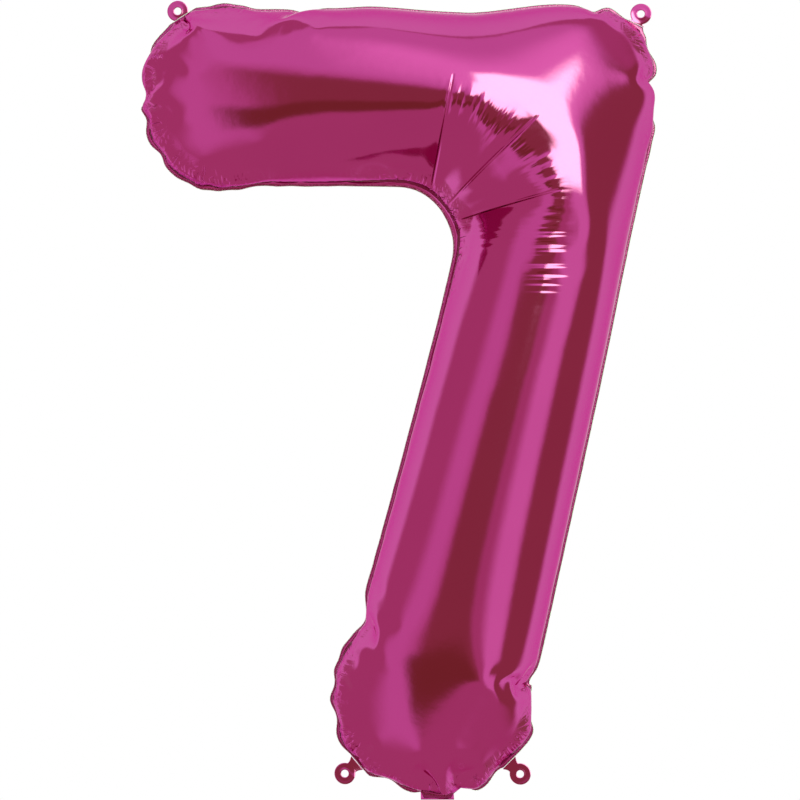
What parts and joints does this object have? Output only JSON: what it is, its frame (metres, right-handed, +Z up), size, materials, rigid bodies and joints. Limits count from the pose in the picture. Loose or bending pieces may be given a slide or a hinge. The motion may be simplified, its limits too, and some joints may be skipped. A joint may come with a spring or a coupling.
{
  "type": "foil number balloon",
  "caption": "Inflated mirror-foil balloon shaped as the figure seven, two films sealed round the edge, with punched hanging tabs and a filling tail.",
  "frame": {"origin": "midway between the hole centres of the two top hanging tabs, in the plane of the seam", "axes": "+Z up along the figure's height, -Y out of the front face, +X to the viewer's right as the figure is read"},
  "size_m": [0.5504, 0.2262, 0.8641],
  "materials": {
    "magenta_foil": "mirror-bright metallised film, magenta, crisply wrinkled at the seam",
    "clear_sealant": "clear fused polyethylene",
    "valve_film": "milky clear polyethylene film"
  },
  "bodies": {
    "envelope": {"front_panel": "magenta_foil", "back_panel": "magenta_foil", "seam_seal": "clear_sealant", "valve_film_front": "valve_film", "valve_film_back": "valve_film"},
    "filling_tail": {"tail_front_ply": "magenta_foil", "tail_back_ply": "magenta_foil"},
    "arm_left_tab": {"hang_tab_arm_left": "magenta_foil"},
    "arm_right_tab": {"hang_tab_arm_right": "magenta_foil"},
    "stem_left_tab": {"hang_tab_stem_left": "magenta_foil"},
    "stem_right_tab": {"hang_tab_stem_right": "magenta_foil"}
  },
  "joints": [
    {"name": "tail_fold", "type": "hinge", "parent": "envelope", "child": "filling_tail", "pos_m": [0.03038, 0, -0.85074], "axis": [1, 0, 0], "range_deg": [-200, 0], "stiffness_Nm_per_rad": 0.0003, "springref_deg": 9.74},
    {"name": "arm_left_tab_bend", "type": "hinge", "parent": "envelope", "child": "arm_left_tab", "pos_m": [-0.2464, 0, -0.00481], "axis": [-0.8387, 0, -0.5446], "range_deg": [-80, 80], "stiffness_Nm_per_rad": 0.0002},
    {"name": "arm_right_tab_bend", "type": "hinge", "parent": "envelope", "child": "arm_right_tab", "pos_m": [0.24523, 0, -0.0123], "axis": [-0.8988, 0, 0.4384], "range_deg": [-80, 80], "stiffness_Nm_per_rad": 0.0002},
    {"name": "stem_left_tab_bend", "type": "hinge", "parent": "envelope", "child": "stem_left_tab", "pos_m": [-0.05623, 0, -0.81119], "axis": [0.6561, 0, -0.7547], "range_deg": [-80, 80], "stiffness_Nm_per_rad": 0.0002},
    {"name": "stem_right_tab_bend", "type": "hinge", "parent": "envelope", "child": "stem_right_tab", "pos_m": [0.10756, 0, -0.81096], "axis": [0.7071, 0, 0.7071], "range_deg": [-80, 80], "stiffness_Nm_per_rad": 0.0002}
  ]
}
